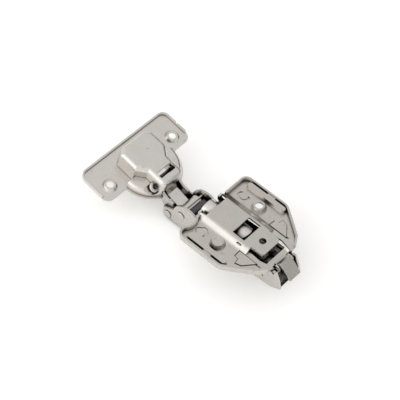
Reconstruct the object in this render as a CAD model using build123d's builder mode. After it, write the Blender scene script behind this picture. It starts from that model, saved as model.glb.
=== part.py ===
from build123d import *
import math
import os

# Concealed clip-on cup hinge with a soft-close arm, standing open.
# Frame: origin midway between the plate's two screw holes, on the face that meets the cabinet
# side. +X runs from the cup to the rear of the arm, +Y along the pivots, +Z into the cabinet side.
# Lengths are in millimetres, angles in degrees.

# ---------------------------------------------------------------- sheets and clearances
SHEET = 1.2  # plate, arm and cup flange
BOWL_WALL = 0.9  # drawn wall of the cup
LINK_SHEET = 1.2
RUNNING = 0.05  # radial clearance of a turning pin
SIDE_PLAY = 0.2  # between walls that pass each other
SEAT_GAP = 0.3

# ---------------------------------------------------------------- four-bar linkage, as (X, Z)
FRONT_PIVOT = (-41.66, -23.48)
REAR_PIVOT = (-32.32, -16.59)
OUTER_LINK_LENGTH = 19.53
OUTER_LINK_ANGLE = 127.0
CUP_TILT = 11.7  # of the flange to the plate, as the hinge stands
CUP_OUTER_PIN = (15.41, 5.55)  # along and above the flange
CUP_INNER_PIN = (19.14, 3.40)
FRONT_RIVET_RADIUS = 1.5
REAR_RIVET_RADIUS = 1.3
CUP_PIN_RADIUS = 1.0
RIVET_HEAD_RADIUS = 2.5
RIVET_HEAD = 0.7
RIVET_HEAD_TAPER = 20.0
OPEN_PIVOT_SLIP = 1.65  # play of the rear rivet in its eye, where the loop is open
OPEN_PIVOT_CENTRE = (0.15, -0.1)

# ---------------------------------------------------------------- cup, along and above its flange
CUP_BORE = 35.0
BORE_PLAY = 0.1
CUP_CENTRE = 6.0  # bore centre past the line of the screw holes
CUP_DEPTH = 11.6
BOWL_DRAFT = 2.0
BOWL_ROUND = 2.8  # round its bottom
CUP_SCREW_SPACING = 48.0
CUP_SCREW_HOLE = 4.0
CUP_DIMPLE_BASE = 4.2
CUP_DIMPLE_TOP = 3.0
FLANGE_BACK = -15.3
FLANGE_FRONT = 7.1
FLANGE_LENGTH = 64.6
FLANGE_CORNER = 4.5
FLANGE_LIP = 1.5
LIP_WALL = 1.0
LIP_NICK = -4.3  # place of its nick along the flange's end
COVER_RADIUS = 18.6
SHOULDER_HEIGHT = 4.4
SHOULDER_ROUND = 2.5
BOWL_BACK = -9.6
BOWL_BACK_HALF = 8.0
BOWL_SIDE_START = -6.5
BOWL_SIDE_END = 5.0
BOWL_HALF_WIDTH = 12.3
NOSE_START = 10.5
NOSE_PLAY = 0.5  # beside the outer link
NOSE_END = 23.3
NOSE_MOUTH_HEIGHT = 5.2  # the links leave the nose below this height
WINDOW = (14.2, 18.4, 5.3)  # start, end and half width of the bowl window
POCKET_LENGTH = 7.2
POCKET_WIDTH = 3.4

# ---------------------------------------------------------------- links
LINK_PLAY = 0.3  # beside the outer link in the arm
OUTER_EYE_RADIUS = 2.4
INNER_CURL_WIDTH = 1.3  # of each eye of the inner link
INNER_EYE_RADIUS = 2.3
REAR_EYE_RADIUS = 3.9
SPRING_WIRE = 0.8

# ---------------------------------------------------------------- arm
ARM_HALF_WIDTH = 8.2
ARM_BACK_START = (-31.4, -26.5)  # the straight back of the arm, as (X, Z)
ARM_BACK_END = (17.0, -19.2)

# ---------------------------------------------------------------- damper
DAMPER_FRONT = -28.5
DAMPER_STEP = -25.6
DAMPER_NOSE = -26.3
DAMPER_REAR = -9.5
DAMPER_TOP = -11.0
DAMPER_LOW_TOP = -14.8
DAMPER_BOTTOM = -20.6
DAMPER_PLAY = 0.3
PISTON_RADIUS = 1.25
DAMPER_BAR = (-31.1, -11.6)  # the bar across the arm before the damper
PISTON_AXIS_Z = -17.6

# ---------------------------------------------------------------- mounting plate
PLATE_DROP = 2.5  # from the cabinet side to the wings
PLATE_FRONT = -18.7
PLATE_HALF_WIDTH = 26.8
PLATE_REAR = 30.4
PLATE_SCREW_SPACING = 32.0
PLATE_SCREW_HOLE = 4.2
PLATE_DIMPLE_BASE = 4.3
PLATE_DIMPLE_TOP = 3.1
PLATE_LIP_WALL = 1.1
BAND_HALF_WIDTH = 8.2
BAND_FOOT = 11.4
BAND_END = 14.7
TONGUE_HALF_WIDTH = 6.9
TONGUE_END = 22.5
TONGUE_HOLE = (16.35, 3.9)  # place along X and diameter
PLATE_WINDOW = (1.46, 9.40, 6.42)  # start, end and half width
RIB_LENGTH = 26.0
RIB_WIDTH = 3.6
RIB_OFFSET = 23.0
RIB_BRIDGE = (0.7, 5.0)  # where the rib joins the lip: place along X and length
SCALLOP = (16.5, 6.0, 2.1)  # in the front edge: place across, radius and depth
ARROW_RISE = 0.5
ARROW = ((11.2, 11.6), (22.6, 11.6), (17.6, 17.6), (14.4, 18.6), (13.8, 15.5), (11.4, 15.4))
LANCE = (-10.9, 16.8)  # sheared disc beside each dimple
LANCE_DEPTH = 0.5
BAND_DENT = (8.4, 9.3)  # in the band's sloping side
LATCH_BAR = (25.2, 28.4)
LATCH_BAR_DROP = 4.6

# ---------------------------------------------------------------- carrier, adjusters and lever
CARRIER_TOP = -2.0
CARRIER_BOTTOM = -12.9
CARRIER_FRONT = -21.6
CARRIER_ARCH_END = 7.6
CARRIER_REAR = 32.6
HOOK_HALF_WIDTH = 8.8
HOOK_ROOT = 3.6
HOOK_EAR = 2.6  # width of each turned-up ear
HOOK_SHEET = 1.1
HOOK_TIP = -0.9
BRIDGE = (8.5, 19.5)
CAM_X = 14.0
CAM_ECCENTRICITY = 1.7
CAM_PIN_RADIUS = 1.0
CAM_JOURNAL_RADIUS = 2.9
CAM_HEAD_RADIUS = 3.5
CAM_HEAD_FACE = -20.4
ADJUSTER_PLAY = 0.3
ADJUSTER_FRONT = -9.0
ADJUSTER_REAR = 26.5
ADJUSTER_TOP = -6.8
ADJUSTER_FLOOR = -14.4
TILT_PIVOT = (24.0, -14.0)
TILT_PIN_RADIUS = 1.0
TILT_PLAY = 0.3  # round what the tilting arm passes over
OVERLAY_SCREW_X = -3.0
OVERLAY_SCREW_RADIUS = 2.5
OVERLAY_NECK_RADIUS = 1.6
OVERLAY_SCREW_TIP = -23.2
LEVER_PIVOT = (31.0, -5.3)
LEVER_PIN_RADIUS = 1.0
LEVER_PLAY = 0.1
LEVER_SHEET = 0.8
LEVER_SPRING_WIRE = 0.6

# ---------------------------------------------------------------- worked out from the above
tilt = math.radians(CUP_TILT)
link_angle = math.radians(OUTER_LINK_ANGLE)
outer_pin_x = FRONT_PIVOT[0] + OUTER_LINK_LENGTH * math.cos(link_angle)
outer_pin_z = FRONT_PIVOT[1] + OUTER_LINK_LENGTH * math.sin(link_angle)
cup_x = outer_pin_x - CUP_OUTER_PIN[0] * math.cos(tilt) - CUP_OUTER_PIN[1] * math.sin(tilt)
cup_z = outer_pin_z + CUP_OUTER_PIN[0] * math.sin(tilt) - CUP_OUTER_PIN[1] * math.cos(tilt)
inner_pin_x = cup_x + CUP_INNER_PIN[0] * math.cos(tilt) + CUP_INNER_PIN[1] * math.sin(tilt)
inner_pin_z = cup_z - CUP_INNER_PIN[0] * math.sin(tilt) + CUP_INNER_PIN[1] * math.cos(tilt)
inner_run = (inner_pin_x - REAR_PIVOT[0], inner_pin_z - REAR_PIVOT[1])
inner_link_length = math.hypot(inner_run[0], inner_run[1])
pin_spacing = math.dist(CUP_OUTER_PIN, CUP_INNER_PIN)

ACROSS = (0, -1, 0)
STANDING = (Align.CENTER, Align.CENTER, Align.MIN)
SIDE = Plane.XZ
CUP_FACE = Plane((cup_x, 0, cup_z), x_dir=(math.cos(tilt), 0, -math.sin(tilt)),
                 z_dir=(math.sin(tilt), 0, math.cos(tilt)))
BORE_SECTION = Plane(CUP_FACE.from_local_coords((CUP_CENTRE, 0, 0)), x_dir=(0, 1, 0), z_dir=CUP_FACE.x_dir)
CUP_RISE = Axis(CUP_FACE.origin, CUP_FACE.z_dir)
CUP_SIDE = Plane(CUP_FACE.origin, x_dir=CUP_FACE.x_dir, z_dir=ACROSS)
OUTER_LINK_SIDE = Plane((FRONT_PIVOT[0], 0, FRONT_PIVOT[1]),
                        x_dir=(math.cos(link_angle), 0, math.sin(link_angle)), z_dir=ACROSS)
INNER_LINK_SIDE = Plane((REAR_PIVOT[0], 0, REAR_PIVOT[1]),
                        x_dir=(inner_run[0], 0, inner_run[1]), z_dir=ACROSS)

arm_inner = ARM_HALF_WIDTH - SHEET
outer_link_half = arm_inner - LINK_PLAY
outer_link_inner = outer_link_half - LINK_SHEET
nose_inner = outer_link_half + NOSE_PLAY
nose_half = nose_inner + BOWL_WALL
inner_link_half = outer_link_inner - SIDE_PLAY
inner_web_half = inner_link_half - INNER_CURL_WIDTH
damper_half = outer_link_inner - DAMPER_PLAY
adjuster_half = arm_inner - ADJUSTER_PLAY
adjuster_inner = adjuster_half - SHEET
carrier_half = adjuster_inner - SIDE_PLAY
lever_half = carrier_half - SHEET - LEVER_PLAY
hook_level = -PLATE_DROP - SHEET - SEAT_GAP - HOOK_SHEET / 2
hook_x = PLATE_FRONT - SEAT_GAP - HOOK_SHEET / 2

def bowl_outline(level, inset):
    """Outline of the bowl at a level above the flange, drawn in by inset."""
    with BuildSketch(CUP_FACE.offset(level)) as outline:
        with BuildLine():
            Polyline((BOWL_BACK, -BOWL_BACK_HALF), (BOWL_SIDE_START, -BOWL_HALF_WIDTH),
                     (BOWL_SIDE_END, -BOWL_HALF_WIDTH), (NOSE_START, -nose_half),
                     (NOSE_END, -nose_half), (NOSE_END, nose_half),
                     (NOSE_START, nose_half), (BOWL_SIDE_END, BOWL_HALF_WIDTH),
                     (BOWL_SIDE_START, BOWL_HALF_WIDTH), (BOWL_BACK, BOWL_BACK_HALF), close=True)
        make_face()
        fillet(outline.vertices().group_by(Axis.X)[-1], 3.5)
        fillet(outline.vertices().group_by(Axis.X)[0], 3.5)
        if inset:
            offset(amount=-inset)
    return outline.sketch


def rounded_bowl(inset, depth, rounding):
    """Solid of the bowl's form, drawn in by inset and rounded at its bottom."""
    with BuildPart() as form:
        extrude(bowl_outline(0, inset), amount=depth, taper=BOWL_DRAFT)
        fillet(form.faces().sort_by(CUP_RISE)[-1].edges(), rounding)
    return CUP_FACE.to_local_coords(form.part)


def slab(points, plane=SIDE):
    """Closed straight-sided profile through points."""
    with BuildSketch(plane) as profile:
        with BuildLine():
            Polyline(*points, close=True)
        make_face()
    return profile.sketch


def disc_on(plane, centre, radius):
    """Round profile on a plane."""
    with BuildSketch(plane) as profile:
        with Locations(centre):
            Circle(radius)
    return profile.sketch


# ================================================================ cup
with BuildPart(CUP_FACE) as hinge_cup:
    # flange with its lip turned up along the back and the ends
    with BuildSketch(CUP_FACE.offset(-SHEET)):
        with Locations(((FLANGE_BACK + FLANGE_FRONT) / 2, 0)):
            RectangleRounded(FLANGE_FRONT - FLANGE_BACK, FLANGE_LENGTH, FLANGE_CORNER)
        with Locations((CUP_CENTRE, 0)):
            Circle(COVER_RADIUS)
        with Locations((FLANGE_BACK, 0)):
            Rectangle(CUP_BORE, 2 * CUP_BORE, align=(Align.MAX, Align.CENTER), mode=Mode.SUBTRACT)
    extrude(amount=SHEET)
    with BuildSketch(CUP_FACE) as lip:
        with Locations(((FLANGE_BACK + FLANGE_FRONT) / 2, 0)):
            RectangleRounded(FLANGE_FRONT - FLANGE_BACK, FLANGE_LENGTH, FLANGE_CORNER)
        offset(amount=-LIP_WALL, mode=Mode.SUBTRACT)
        with Locations((FLANGE_FRONT + 1, 0)):
            Rectangle(FLANGE_CORNER + 1, FLANGE_LENGTH + 2, align=(Align.MAX, Align.CENTER),
                      mode=Mode.SUBTRACT)
    extrude(amount=FLANGE_LIP)
    # round shoulder that sits in the bore beside the nose
    with BuildSketch(BORE_SECTION) as shoulder:
        Rectangle(CUP_BORE / 2 - BORE_PLAY, SHOULDER_HEIGHT, align=(Align.MIN, Align.MIN))
        fillet(shoulder.vertices().group_by(Axis.X)[-1].sort_by(Axis.Y)[-1], SHOULDER_ROUND)
    revolve(axis=Axis(BORE_SECTION.origin, -CUP_FACE.z_dir), revolution_arc=180)
    # drawn bowl
    add(rounded_bowl(0, CUP_DEPTH, BOWL_ROUND))
    # nick in the lip, at one end
    with Locations((LIP_NICK, FLANGE_LENGTH / 2, 0)):
        Cylinder(0.7, FLANGE_LIP + 1, align=STANDING, mode=Mode.SUBTRACT)
    # hollow of the bowl and of the shoulder
    add(rounded_bowl(BOWL_WALL, CUP_DEPTH - BOWL_WALL, BOWL_ROUND - BOWL_WALL), mode=Mode.SUBTRACT)
    extrude(bowl_outline(-SHEET, BOWL_WALL), amount=SHEET, mode=Mode.SUBTRACT)
    # mouth of the nose
    with BuildSketch(CUP_FACE.offset(-SHEET)):
        with Locations((NOSE_START, 0)):
            Rectangle(CUP_BORE, 2 * nose_inner, align=(Align.MIN, Align.CENTER))
    extrude(amount=SHEET + NOSE_MOUTH_HEIGHT, mode=Mode.SUBTRACT)
    # window in the bowl's bottom
    with BuildSketch(CUP_FACE.offset(CUP_DEPTH + 1)):
        with Locations(((WINDOW[0] + WINDOW[1]) / 2, 0)):
            RectangleRounded(WINDOW[1] - WINDOW[0], 2 * WINDOW[2], 0.6)
    extrude(amount=-(BOWL_WALL + 2), mode=Mode.SUBTRACT)
    # screw dimples
    for side in (-1, 1):
        with Locations((0, side * CUP_SCREW_SPACING / 2, 0)):
            Cone(CUP_DIMPLE_BASE, CUP_DIMPLE_TOP, FLANGE_LIP, align=STANDING)
        with Locations((0, side * CUP_SCREW_SPACING / 2, -SHEET)):
            Cone(CUP_DIMPLE_BASE, CUP_SCREW_HOLE / 2, FLANGE_LIP + 0.4,
                 align=STANDING, mode=Mode.SUBTRACT)
            Cylinder(CUP_SCREW_HOLE / 2, 4 * SHEET, align=STANDING,
                     mode=Mode.SUBTRACT)
    # pocket for the bend of the wire, and the four bores of its legs
    pocket_middle = ((CUP_OUTER_PIN[0] + CUP_INNER_PIN[0]) / 2, (CUP_OUTER_PIN[1] + CUP_INNER_PIN[1]) / 2)
    pocket_angle = math.degrees(math.atan2(CUP_INNER_PIN[1] - CUP_OUTER_PIN[1],
                                           CUP_INNER_PIN[0] - CUP_OUTER_PIN[0]))
    with BuildSketch(CUP_SIDE.offset(nose_half)):
        with Locations(Location((*pocket_middle, 0), (0, 0, pocket_angle))):
            SlotOverall(POCKET_LENGTH, POCKET_WIDTH)
    extrude(amount=CUP_BORE / 2, mode=Mode.SUBTRACT)
    for pin in (CUP_OUTER_PIN, CUP_INNER_PIN):
        extrude(disc_on(CUP_SIDE, pin, CUP_PIN_RADIUS), amount=nose_half + 1, both=True,
                mode=Mode.SUBTRACT)

with BuildPart() as cup_pin:
    with BuildLine() as wire:
        bend = pin_spacing / 2
        top = CUP_SIDE.offset(-nose_half)
        root = CUP_SIDE.offset(nose_half)
        Line(top.from_local_coords((*CUP_OUTER_PIN, 0)), root.from_local_coords((*CUP_OUTER_PIN, 0)))
        ThreePointArc(root.from_local_coords((*CUP_OUTER_PIN, 0)),
                      root.from_local_coords((*pocket_middle, bend)),
                      root.from_local_coords((*CUP_INNER_PIN, 0)))
        Line(root.from_local_coords((*CUP_INNER_PIN, 0)), top.from_local_coords((*CUP_INNER_PIN, 0)))
    with BuildSketch(Plane(wire.edges()[0] @ 0, z_dir=wire.edges()[0] % 0)):
        Circle(CUP_PIN_RADIUS)
    sweep()

# ================================================================ outer link
sweep_inner = pin_spacing - CUP_PIN_RADIUS - SEAT_GAP
sweep_outer = pin_spacing + CUP_PIN_RADIUS + SEAT_GAP
with BuildPart() as outer_link:
    with BuildSketch(OUTER_LINK_SIDE) as flange:
        with BuildLine():
            Polyline((0, 2.2), (OUTER_LINK_LENGTH - 5.0, 2.3), (OUTER_LINK_LENGTH - 3.6, 3.4),
                     (OUTER_LINK_LENGTH - 0.6, 2.2), (OUTER_LINK_LENGTH, -1.6),
                     (13.8, -3.0), (11.8, -2.9), (8.7, -4.2), (5.6, -6.4), (3.0, -5.6), (0.6, -2.2),
                     close=True)
        make_face()
        Circle(OUTER_EYE_RADIUS)
        with Locations((OUTER_LINK_LENGTH, 0)):
            Circle(OUTER_EYE_RADIUS)
        # path that the other cup pin sweeps round this eye
        with BuildSketch(mode=Mode.SUBTRACT):
            with Locations((OUTER_LINK_LENGTH, 0)):
                Circle(sweep_outer)
                Circle(sweep_inner, mode=Mode.SUBTRACT)
            with BuildLine():
                Polyline((OUTER_LINK_LENGTH, 0), (OUTER_LINK_LENGTH - 8, 1.8), (OUTER_LINK_LENGTH - 8, -9),
                         (OUTER_LINK_LENGTH + 9, -9), (OUTER_LINK_LENGTH + 9, 0), close=True)
            make_face(mode=Mode.INTERSECT)
        Circle(FRONT_RIVET_RADIUS + RUNNING, mode=Mode.SUBTRACT)
        with Locations((OUTER_LINK_LENGTH, 0)):
            Circle(CUP_PIN_RADIUS + RUNNING, mode=Mode.SUBTRACT)
    extrude(amount=outer_link_half, both=True)
    with BuildSketch(OUTER_LINK_SIDE):
        with BuildLine():
            Polyline((-4, 1.1), (5.2, 1.1), (5.2, 9), (-4, 9), close=True)
        make_face()
        with BuildLine():
            Polyline((-4, 1.1), (-4, -9), (25, -9), (25, 1.1), close=True)
        make_face()
        with BuildLine():
            Polyline((13.6, 0), (13.6, 9), (25, 9), (25, 0), close=True)
        make_face()
    extrude(amount=outer_link_inner, both=True, mode=Mode.SUBTRACT)

# ================================================================ inner link
with BuildPart() as inner_link:
    with BuildSketch(INNER_LINK_SIDE):
        Circle(REAR_EYE_RADIUS)
        with Locations(OPEN_PIVOT_CENTRE):
            Circle(REAR_RIVET_RADIUS + OPEN_PIVOT_SLIP, mode=Mode.SUBTRACT)
    extrude(amount=inner_link_half, both=True)
    with BuildSketch(INNER_LINK_SIDE):
        with Locations((inner_link_length, 0)):
            Circle(INNER_EYE_RADIUS)
            Circle(CUP_PIN_RADIUS + RUNNING, mode=Mode.SUBTRACT)
    extrude(amount=inner_link_half, both=True)
    with BuildSketch(INNER_LINK_SIDE):
        with BuildLine():
            FilletPolyline((1.6, 3.0), (4.6, 4.8), (inner_link_length - 5.6, 4.3),
                           (inner_link_length - 1.5, 1.5), radius=1.6)
        trace(line_width=LINK_SHEET)
    extrude(amount=inner_web_half, both=True)

# ================================================================ rivets of the arm
with BuildPart() as front_rivet:
    extrude(disc_on(SIDE, FRONT_PIVOT, FRONT_RIVET_RADIUS), amount=ARM_HALF_WIDTH, both=True)
    for side in (-1, 1):
        extrude(disc_on(SIDE.offset(side * ARM_HALF_WIDTH), FRONT_PIVOT, RIVET_HEAD_RADIUS),
                amount=side * RIVET_HEAD, taper=RIVET_HEAD_TAPER)

with BuildPart() as rear_rivet:
    extrude(disc_on(SIDE, REAR_PIVOT, REAR_RIVET_RADIUS), amount=ARM_HALF_WIDTH, both=True)
    for side in (-1, 1):
        extrude(disc_on(SIDE.offset(side * ARM_HALF_WIDTH), REAR_PIVOT, RIVET_HEAD_RADIUS),
                amount=side * RIVET_HEAD, taper=RIVET_HEAD_TAPER)

# ================================================================ arm
with BuildPart() as hinge_arm:
    with BuildSketch(SIDE):
        with BuildLine():
            Polyline((-22.9, -9.2), (-20, -10.2), (-12, -9.5), (-6, -5.8), (10, -4.9), (22, -5.4),
                     (30.2, -5.4), (30.5, -4.1), (32.4, -4.1), (32.7, -2.9), (34.4, -6.4), (36.2, -9.2),
                     (36.7, -14.4),
                     (30.5, -17.9), ARM_BACK_END, ARM_BACK_START, (-35, -27.3), (-39.5, -27.5),
                     (-43.2, -27), (-44.8, -25.7), (-45, -19.7), (-37.8, -17))
            ThreePointArc((-37.8, -17), (-31.0, -8.4), (-22.9, -9.2))
        make_face()
    extrude(amount=ARM_HALF_WIDTH, both=True)
    with BuildSketch(SIDE):
        with BuildLine():
            Polyline((-50, -26.3), (-39.5, -26.3), (-35, -26.1),
                     (ARM_BACK_START[0], ARM_BACK_START[1] + SHEET),
                     (ARM_BACK_END[0], ARM_BACK_END[1] + SHEET), (30.5, -16.6), (33.5, -14.9), (50, -14.9),
                     (50, 0), (-50, 0), close=True)
        make_face()
    extrude(amount=arm_inner, both=True, mode=Mode.SUBTRACT)
    for pivot, radius in ((FRONT_PIVOT, FRONT_RIVET_RADIUS), (REAR_PIVOT, REAR_RIVET_RADIUS)):
        extrude(disc_on(SIDE, pivot, radius), amount=ARM_HALF_WIDTH + 1, both=True, mode=Mode.SUBTRACT)
    extrude(disc_on(SIDE, LEVER_PIVOT, 0.7), amount=ARM_HALF_WIDTH + 1, both=True, mode=Mode.SUBTRACT)
    extrude(disc_on(SIDE, TILT_PIVOT, TILT_PIN_RADIUS), amount=ARM_HALF_WIDTH + 1, both=True,
            mode=Mode.SUBTRACT)
    # tapped hole of the overlay screw, and the hole that shows the depth cam
    with BuildSketch(Plane.XY.offset(-30)):
        with Locations((OVERLAY_SCREW_X, 0)):
            Circle(OVERLAY_SCREW_RADIUS + TILT_PLAY)
        with Locations((CAM_X, 0)):
            Circle(CAM_HEAD_RADIUS + TILT_PLAY)
    extrude(amount=15, mode=Mode.SUBTRACT)

# ================================================================ damper
with BuildPart() as damper_bracket:
    with BuildSketch(SIDE):
        with Locations(DAMPER_BAR):
            Rectangle(0.9, 0.8)
    extrude(amount=arm_inner, both=True)

with BuildPart() as damper_housing:
    extrude(slab(((DAMPER_FRONT, DAMPER_TOP), (DAMPER_STEP, DAMPER_TOP), (DAMPER_STEP, DAMPER_LOW_TOP),
              (DAMPER_REAR, DAMPER_LOW_TOP), (DAMPER_REAR, DAMPER_BOTTOM), (DAMPER_NOSE, DAMPER_BOTTOM),
              (DAMPER_NOSE, -13.4), (DAMPER_FRONT, -12.2))), amount=damper_half, both=True)
    with BuildSketch(Plane.YZ.offset(-27)):
        with Locations((0, PISTON_AXIS_Z)):
            Circle(PISTON_RADIUS + RUNNING)
    extrude(amount=14, mode=Mode.SUBTRACT)

with BuildPart() as damper_piston:
    with BuildSketch(Plane.YZ.offset(DAMPER_NOSE - 0.2)):
        with Locations((0, PISTON_AXIS_Z)):
            Circle(PISTON_RADIUS)
    extrude(amount=9.5)

# ================================================================ closing spring
with BuildPart() as closing_spring:
    coil_radius = FRONT_RIVET_RADIUS + RUNNING + SPRING_WIRE / 2
    with BuildLine():
        Helix(pitch=1.3 * SPRING_WIRE, height=8 * 1.3 * SPRING_WIRE, radius=coil_radius,
              center=(FRONT_PIVOT[0], 4 * 1.3 * SPRING_WIRE, FRONT_PIVOT[1]), direction=(0, -1, 0))
    with BuildSketch(Plane((FRONT_PIVOT[0] + coil_radius, 4 * 1.3 * SPRING_WIRE, FRONT_PIVOT[1]),
                           z_dir=(0, 0, 1))):
        Circle(SPRING_WIRE / 2)
    sweep(is_frenet=True)

# ================================================================ mounting plate
def plate_outline(level, inset=0.0):
    """Outline of the plate's sheet, drawn in by inset."""
    with BuildSketch(Plane.XY.offset(level)) as outline:
        with BuildLine():
            Polyline((PLATE_FRONT, -PLATE_HALF_WIDTH), (10.5, -PLATE_HALF_WIDTH), (18.5, -21.4),
                     (26.8, -15.4), (PLATE_REAR - 0.9, -11.2), (PLATE_REAR, -5.5),
                     (PLATE_REAR, 5.5), (PLATE_REAR - 0.9, 11.2), (26.8, 15.4), (18.5, 21.4),
                     (10.5, PLATE_HALF_WIDTH), (PLATE_FRONT, PLATE_HALF_WIDTH), close=True)
        make_face()
        with Locations((PLATE_FRONT - SCALLOP[1] + SCALLOP[2], -SCALLOP[0]),
                       (PLATE_FRONT - SCALLOP[1] + SCALLOP[2], SCALLOP[0])):
            Circle(SCALLOP[1], mode=Mode.SUBTRACT)
        front = outline.vertices().group_by(Axis.X)[0].sort_by(Axis.Y)
        fillet((front[0], front[-1]), 4.0)
        fillet(front[1:-1], 2.0)
        fillet(outline.vertices().group_by(Axis.Y)[-1].sort_by(Axis.X)[-1], 6.0)
        fillet(outline.vertices().group_by(Axis.Y)[0].sort_by(Axis.X)[-1], 6.0)
        if inset:
            offset(amount=-inset)
    return outline.sketch


with BuildPart() as base_plate:
    extrude(plate_outline(-PLATE_DROP - SHEET), amount=SHEET)
    # lip round the edge
    extrude(plate_outline(-PLATE_DROP), amount=PLATE_DROP)
    extrude(plate_outline(-PLATE_DROP, PLATE_LIP_WALL), amount=PLATE_DROP, mode=Mode.SUBTRACT)
    # channel that the raised band fills
    with BuildSketch(Plane.XY.offset(-PLATE_DROP - SHEET)):
        with Locations((PLATE_FRONT, 0)):
            Rectangle(60, 2 * (BAND_FOOT - 1.2), align=(Align.MIN, Align.CENTER))
    extrude(amount=PLATE_DROP + SHEET, mode=Mode.SUBTRACT)
    with BuildSketch(Plane.YZ.offset(PLATE_FRONT)):
        with BuildLine():
            Polyline((-BAND_FOOT - 0.4, -PLATE_DROP), (-BAND_FOOT, -PLATE_DROP), (-BAND_HALF_WIDTH, 0),
                     (BAND_HALF_WIDTH, 0), (BAND_FOOT, -PLATE_DROP), (BAND_FOOT + 0.4, -PLATE_DROP),
                     (BAND_FOOT + 0.4, -PLATE_DROP - SHEET), (BAND_FOOT - 0.6, -PLATE_DROP - SHEET),
                     (BAND_HALF_WIDTH - 0.6, -SHEET), (0.6 - BAND_HALF_WIDTH, -SHEET),
                     (0.6 - BAND_FOOT, -PLATE_DROP - SHEET), (-0.4 - BAND_FOOT, -PLATE_DROP - SHEET),
                     close=True)
        make_face()
    extrude(amount=BAND_END - PLATE_FRONT)
    # tongue behind the band
    with BuildSketch(Plane.XY.offset(-SHEET)) as tongue:
        with Locations((BAND_END - 1, 0)):
            Rectangle(TONGUE_END - BAND_END + 1, 2 * TONGUE_HALF_WIDTH, align=(Align.MIN, Align.CENTER))
        fillet(tongue.vertices().group_by(Axis.X)[-1], 2.0)
    extrude(amount=SHEET)
    with BuildSketch(Plane.XY.offset(-PLATE_DROP - SHEET)):
        with Locations(((PLATE_WINDOW[0] + PLATE_WINDOW[1]) / 2, 0)):
            Rectangle(PLATE_WINDOW[1] - PLATE_WINDOW[0], 2 * PLATE_WINDOW[2])
        with Locations((TONGUE_HOLE[0], 0)):
            Circle(TONGUE_HOLE[1] / 2)
    extrude(amount=PLATE_DROP + SHEET, mode=Mode.SUBTRACT)
    # sides of the rear opening and the dropped bar that the latch grips
    for side in (-1, 1):
        with BuildSketch(Plane.XY.offset(-PLATE_DROP - SHEET)):
            with BuildLine():
                Polyline((BAND_END, side * 8.2), (BAND_END, side * 12.0), (PLATE_REAR - 1.2, side * 12.0),
                         (PLATE_REAR - 0.2, side * 7.0), (22.0, side * 8.8), close=True)
            make_face()
        extrude(amount=SHEET)
    with BuildSketch(Plane.YZ.offset(LATCH_BAR[0])):
        with BuildLine():
            Polyline((-9.2, -PLATE_DROP), (-8.6, -PLATE_DROP),
                         (-6.6, -LATCH_BAR_DROP), (6.6, -LATCH_BAR_DROP),
                     (8.6, -PLATE_DROP), (9.2, -PLATE_DROP), (9.2, -PLATE_DROP - SHEET),
                     (8.0, -PLATE_DROP - SHEET), (6.0, -LATCH_BAR_DROP - SHEET),
                     (-6.0, -LATCH_BAR_DROP - SHEET), (-8.0, -PLATE_DROP - SHEET),
                     (-9.2, -PLATE_DROP - SHEET), close=True)
        make_face()
    extrude(amount=LATCH_BAR[1] - LATCH_BAR[0])
    for side in (-1, 1):
        # stiffening rib
        with BuildSketch(Plane.XY.offset(-PLATE_DROP)):
            with Locations((-1, side * RIB_OFFSET)):
                SlotOverall(RIB_LENGTH, RIB_WIDTH)
        extrude(amount=PLATE_DROP, taper=8)
        with BuildSketch(Plane.XY.offset(-PLATE_DROP - SHEET)):
            with Locations((-1, side * RIB_OFFSET)):
                SlotOverall(RIB_LENGTH - 1.4, RIB_WIDTH - 1.4)
        extrude(amount=PLATE_DROP, mode=Mode.SUBTRACT, taper=8)
        # bridge from the rib to the lip
        with Locations((RIB_BRIDGE[0], side * (RIB_OFFSET + RIB_WIDTH / 2 - 0.5), -PLATE_DROP)):
            Box(RIB_BRIDGE[1], PLATE_HALF_WIDTH - RIB_OFFSET - RIB_WIDTH / 2, PLATE_DROP - 0.4,
                align=(Align.CENTER, Align.MIN if side > 0 else Align.MAX, Align.MIN))
        # embossed arrow
        with BuildSketch(Plane.XY.offset(-PLATE_DROP)):
            with BuildLine():
                Polyline(*[(x, side * y) for x, y in ARROW], close=True)
            make_face()
        extrude(amount=ARROW_RISE, taper=30)
        # lanced recess round a sheared disc
        with BuildSketch(Plane.XY.offset(-PLATE_DROP)):
            with Locations((LANCE[0] - 1.4, side * (LANCE[1] - 0.6)),
                           (LANCE[0] + 0.2, side * (LANCE[1] - 2.0)),
                           (LANCE[0] + 1.6, side * (LANCE[1] - 0.8))):
                Circle(2.2)
            with Locations((LANCE[0], side * LANCE[1])):
                Circle(2.3, mode=Mode.SUBTRACT)
        extrude(amount=-LANCE_DEPTH, mode=Mode.SUBTRACT)
        # dent in the band's sloping side
        with BuildSketch(Plane.XY.offset(-PLATE_DROP / 2)):
            with Locations((BAND_DENT[0], side * BAND_DENT[1])):
                SlotOverall(3.2, 1.0)
        extrude(amount=PLATE_DROP, mode=Mode.SUBTRACT)
        # screw dimple
        with Locations((0, side * PLATE_SCREW_SPACING / 2, -PLATE_DROP)):
            Cone(PLATE_DIMPLE_BASE, PLATE_DIMPLE_TOP, PLATE_DROP, align=STANDING)
        with Locations((0, side * PLATE_SCREW_SPACING / 2, -PLATE_DROP - SHEET)):
            Cone(PLATE_DIMPLE_BASE, PLATE_SCREW_HOLE / 2, PLATE_DROP, align=STANDING,
                 mode=Mode.SUBTRACT)
            Cylinder(PLATE_SCREW_HOLE / 2, 2 * PLATE_DROP, align=STANDING,
                     mode=Mode.SUBTRACT)

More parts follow.
